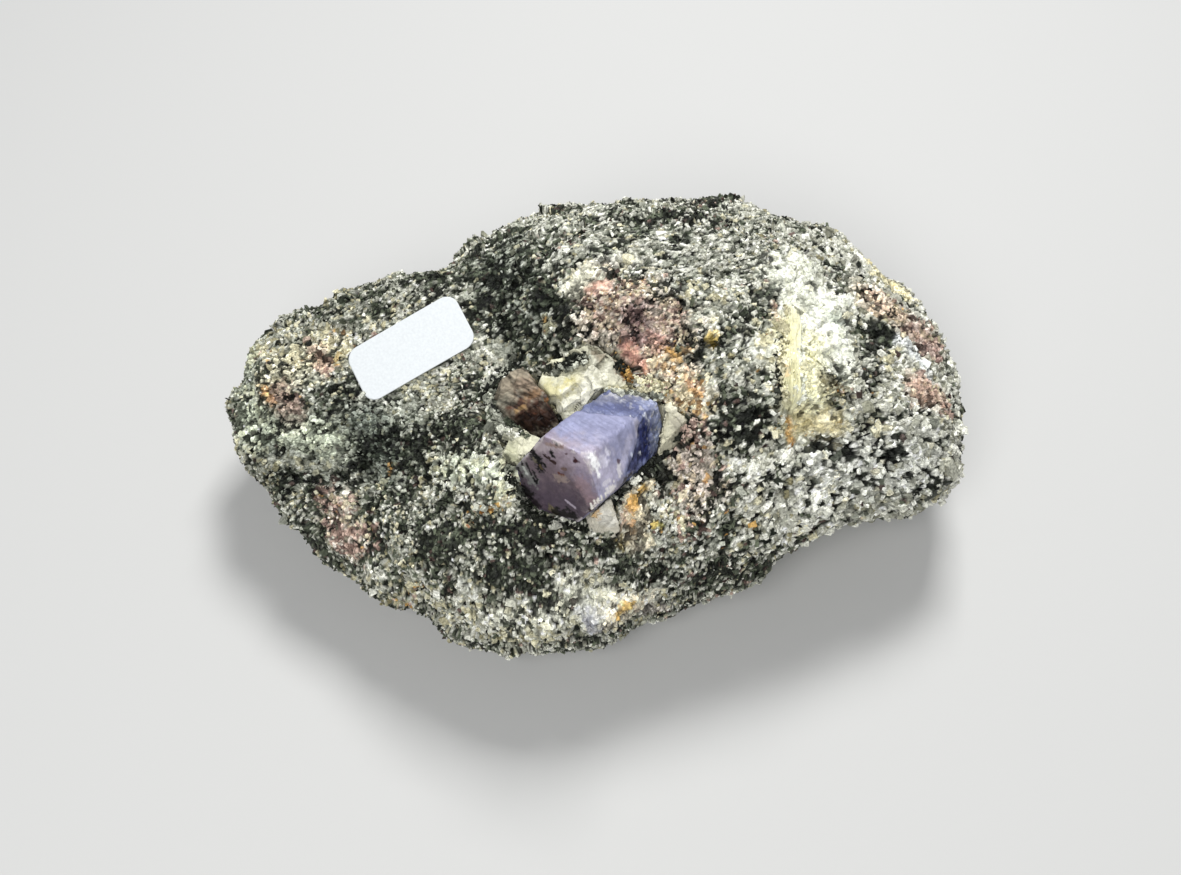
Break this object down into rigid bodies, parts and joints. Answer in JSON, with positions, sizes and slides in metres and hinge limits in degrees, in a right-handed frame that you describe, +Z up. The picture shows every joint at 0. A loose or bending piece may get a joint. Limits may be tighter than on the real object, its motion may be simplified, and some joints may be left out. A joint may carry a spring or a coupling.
{
  "type": "ruby crystal specimen",
  "caption": "Rough cobble of mica gneiss with a stout six-sided violet-blue crystal set in its top, pale feldspar round it and a blank paper label.",
  "frame": {"origin": "on the flat base, under the middle of the stone's box", "axes": "+X along the stone, away from the labelled end; +Y towards the back, away from the crystal's free end; +Z up"},
  "size_m": [0.1128, 0.0754, 0.0461],
  "materials": {
    "gneiss": "rough, fine salt-and-pepper grain with mica",
    "corundum": "opaque, softly glossy, striated violet-blue",
    "brown_crystal": "opaque, satin",
    "feldspar": "chipped, satin cleavage faces",
    "paper": "matt white paper"
  },
  "bodies": {
    "root": {"matrix": "gneiss", "ruby_crystal": "corundum", "brown_crystal": "brown_crystal", "feldspar_back": "feldspar", "feldspar_left": "feldspar", "feldspar_right": "feldspar", "feldspar_front": "feldspar", "label": "paper"}
  },
  "joints": []
}
